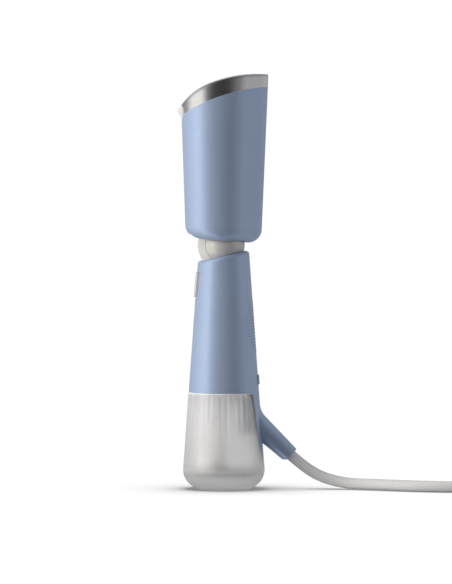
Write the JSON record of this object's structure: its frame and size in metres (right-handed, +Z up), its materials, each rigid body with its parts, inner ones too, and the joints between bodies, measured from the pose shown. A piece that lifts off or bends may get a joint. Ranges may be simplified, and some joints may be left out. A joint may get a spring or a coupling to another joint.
{
  "type": "garment steamer",
  "caption": "Handheld garment steamer: tapered handle on a clip-on water tank, head that tips forward with a steel-rimmed steam face, trigger, mains cord.",
  "frame": {"origin": "centre of the water tank's flat base, on which the steamer stands", "axes": "+Z up along the body's axis; -X is the front, the trigger side towards which the head tips; +X is the back, where the cord leaves"},
  "size_m": [0.3491, 0.1199, 0.332],
  "materials": {
    "housing": "satin metallic blue-grey",
    "neck_grey": "satin",
    "shroud_grey": "matte",
    "button_grey": "metallic satin",
    "tank_clear": "frosted, translucent",
    "tank_white": "satin",
    "band_steel": "brushed",
    "plate_metal": "ceramic-coated, satin",
    "lip_white": "polished",
    "lens": "frosted",
    "cast_alloy": "die-cast",
    "silicone": "matte",
    "seal_rubber": "matte",
    "hose": "translucent silicone",
    "cord_grey": "matte",
    "wire": "matte",
    "inner_plastic": "matte",
    "coil_plastic": "matte",
    "board": "satin",
    "board_parts": "satin",
    "steel": "zinc plated",
    "brass": "plain",
    "heater": "oxidised"
  },
  "bodies": {
    "handle": {"handle_shell_left": "housing", "handle_shell_right": "housing", "handle_screws": "steel", "bottom_deck": "inner_plastic", "water_coupling": "inner_plastic", "coupling_seal": "seal_rubber", "pump_core_tube": "brass", "pump_coil": "coil_plastic", "pump_yoke": "steel", "pump_rubber_mounts": "seal_rubber", "pump_cradle": "inner_plastic", "plunger_spring": "steel", "suction_hose": "hose", "pressure_hose": "hose", "wiring_harness": "wire", "control_board": "board", "board_components": "board_parts", "trigger_switch": "inner_plastic", "trigger_spring": "steel", "latch_spring": "steel", "neck_ball": "neck_grey", "neck_shroud": "shroud_grey", "hinge_bushes": "brass", "click_spring": "steel", "cord_gland": "cord_grey", "cord_clamp": "inner_plastic", "power_cord": "cord_grey", "cord_tail": "cord_grey", "cord_coil": "cord_grey", "plug_body": "cord_grey", "plug_pins": "steel"},
    "plunger": {"pump_plunger": "steel"},
    "trigger": {"trigger_button": "button_grey", "trigger_pin": "steel"},
    "release": {"release_button": "housing", "latch_plate": "inner_plastic"},
    "tank": {"tank_shell": "tank_clear", "tank_lid": "tank_white", "tank_valve": "tank_white", "suction_tube": "hose", "tube_filter": "inner_plastic", "fill_plug": "seal_rubber"},
    "head": {"head_shell_left": "housing", "head_shell_right": "housing", "rim_band": "band_steel", "steam_plate": "plate_metal", "front_lip": "lip_white", "plate_gasket": "silicone", "boiler_block": "cast_alloy", "boiler_cover": "cast_alloy", "heating_element": "heater", "thermostat": "steel", "thermal_fuse": "brass", "heat_shield": "steel", "boiler_posts": "steel", "hinge_frame": "steel", "hinge_pins": "steel", "head_hose": "hose", "head_leads": "wire", "indicator_lens": "lens"}
  },
  "joints": [
    {"name": "head_tilt", "type": "hinge", "parent": "handle", "child": "head", "pos_m": [0, 0, 0.2038], "axis": [0, -1, 0], "range_deg": [0, 47]},
    {"name": "trigger_press", "type": "hinge", "parent": "handle", "child": "trigger", "pos_m": [-0.0165, 0, 0.1702], "axis": [0, -1, 0], "range_deg": [0, 6], "stiffness_Nm_per_rad": 0.12, "springref_deg": -5.73, "deforming": ["trigger_spring"]},
    {"name": "release_press", "type": "slide", "parent": "handle", "child": "release", "axis": [-1, 0, 0], "range_m": [0, 0.0022], "stiffness_N_per_m": 900, "springref_m": -0.001, "deforming": ["latch_spring"]},
    {"name": "plunger_stroke", "type": "slide", "parent": "handle", "child": "plunger", "axis": [0, 0, 1], "range_m": [-0.0015, 0.0015], "stiffness_N_per_m": 500, "deforming": ["plunger_spring"]},
    {"name": "tank_slide", "type": "slide", "parent": "handle", "child": "tank", "axis": [0, 0, -1], "range_m": [0, 0.07]}
  ]
}
